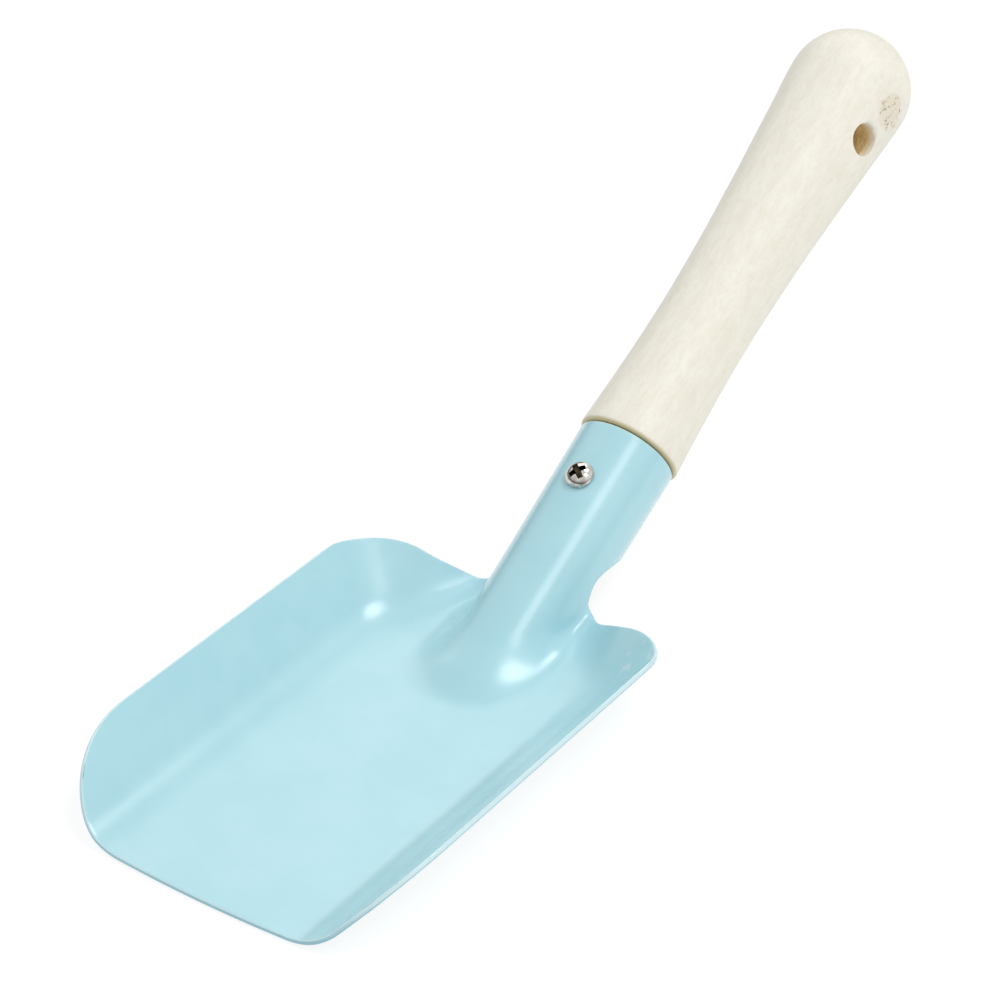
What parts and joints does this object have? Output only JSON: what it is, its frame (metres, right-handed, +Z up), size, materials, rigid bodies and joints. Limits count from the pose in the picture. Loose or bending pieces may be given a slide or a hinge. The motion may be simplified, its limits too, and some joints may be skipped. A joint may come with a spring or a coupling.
{
  "type": "sand shovel",
  "caption": "Child's sand shovel: pressed painted steel scoop with a rolled neck socket, a turned wooden handle with a hanging hole, and a cross-head screw holding the two together",
  "frame": {"origin": "On the underside of the flat floor of the blade, under the middle of the floor's length and width, where the shovel rests on the ground", "axes": "+X runs from the digging edge toward the handle, +Y to the left when looking along +X, +Z up out of the scoop"},
  "size_m": [0.2744, 0.0902, 0.0953],
  "materials": {
    "blade_paint": "satin",
    "handle_wood": "matte",
    "screw_steel": "gloss"
  },
  "bodies": {
    "root": {"blade": "blade_paint", "handle": "handle_wood", "screw": "screw_steel"}
  },
  "joints": []
}
